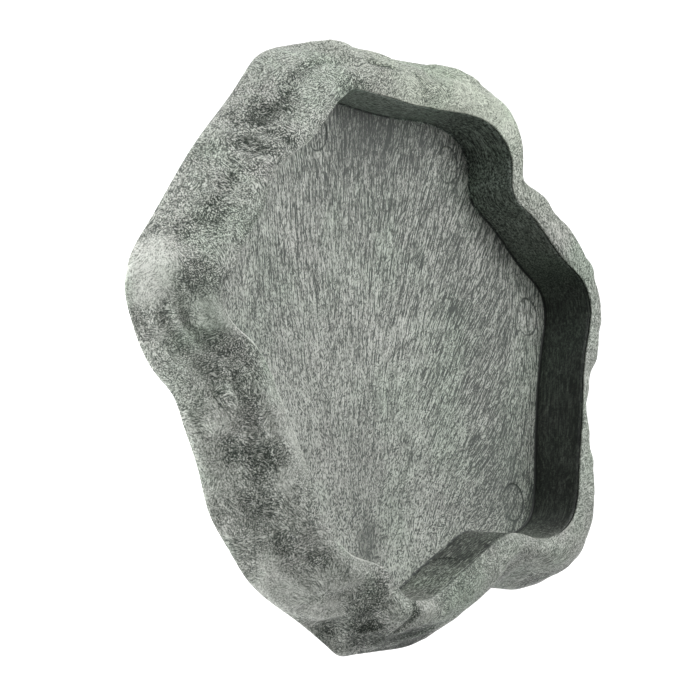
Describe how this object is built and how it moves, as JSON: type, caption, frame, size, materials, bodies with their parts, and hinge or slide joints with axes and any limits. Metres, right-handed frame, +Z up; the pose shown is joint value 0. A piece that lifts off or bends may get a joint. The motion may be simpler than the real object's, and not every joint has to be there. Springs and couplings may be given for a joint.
{
  "type": "rock-look basin dish",
  "caption": "Shallow food and water dish with a smooth flat-floored basin inside an irregular rock-textured rim that flares out to a wide, stable base.",
  "frame": {"origin": "middle of the dish's outline, on the surface that it stands on", "axes": "+Z up, out of the basin; +X along the dish's longest extent, towards the corner opposite its most pointed one; +Y towards its back flank"},
  "size_m": [0.2156, 0.1656, 0.021],
  "materials": {
    "rock_plastic": "satin, marbled grey-green with pale fibre-like flecks and a fine rock texture",
    "basin_plastic": "satin, smooth moulded, grey-green with fine pale flow streaks",
    "pad_rubber": "matte black rubber"
  },
  "bodies": {
    "root": {"rock_shell": "rock_plastic", "basin_tray": "basin_plastic", "foot_pad_back": "pad_rubber", "foot_pad_back_right": "pad_rubber", "foot_pad_right": "pad_rubber", "foot_pad_front_right": "pad_rubber", "foot_pad_front_left": "pad_rubber", "foot_pad_left": "pad_rubber"}
  },
  "joints": []
}
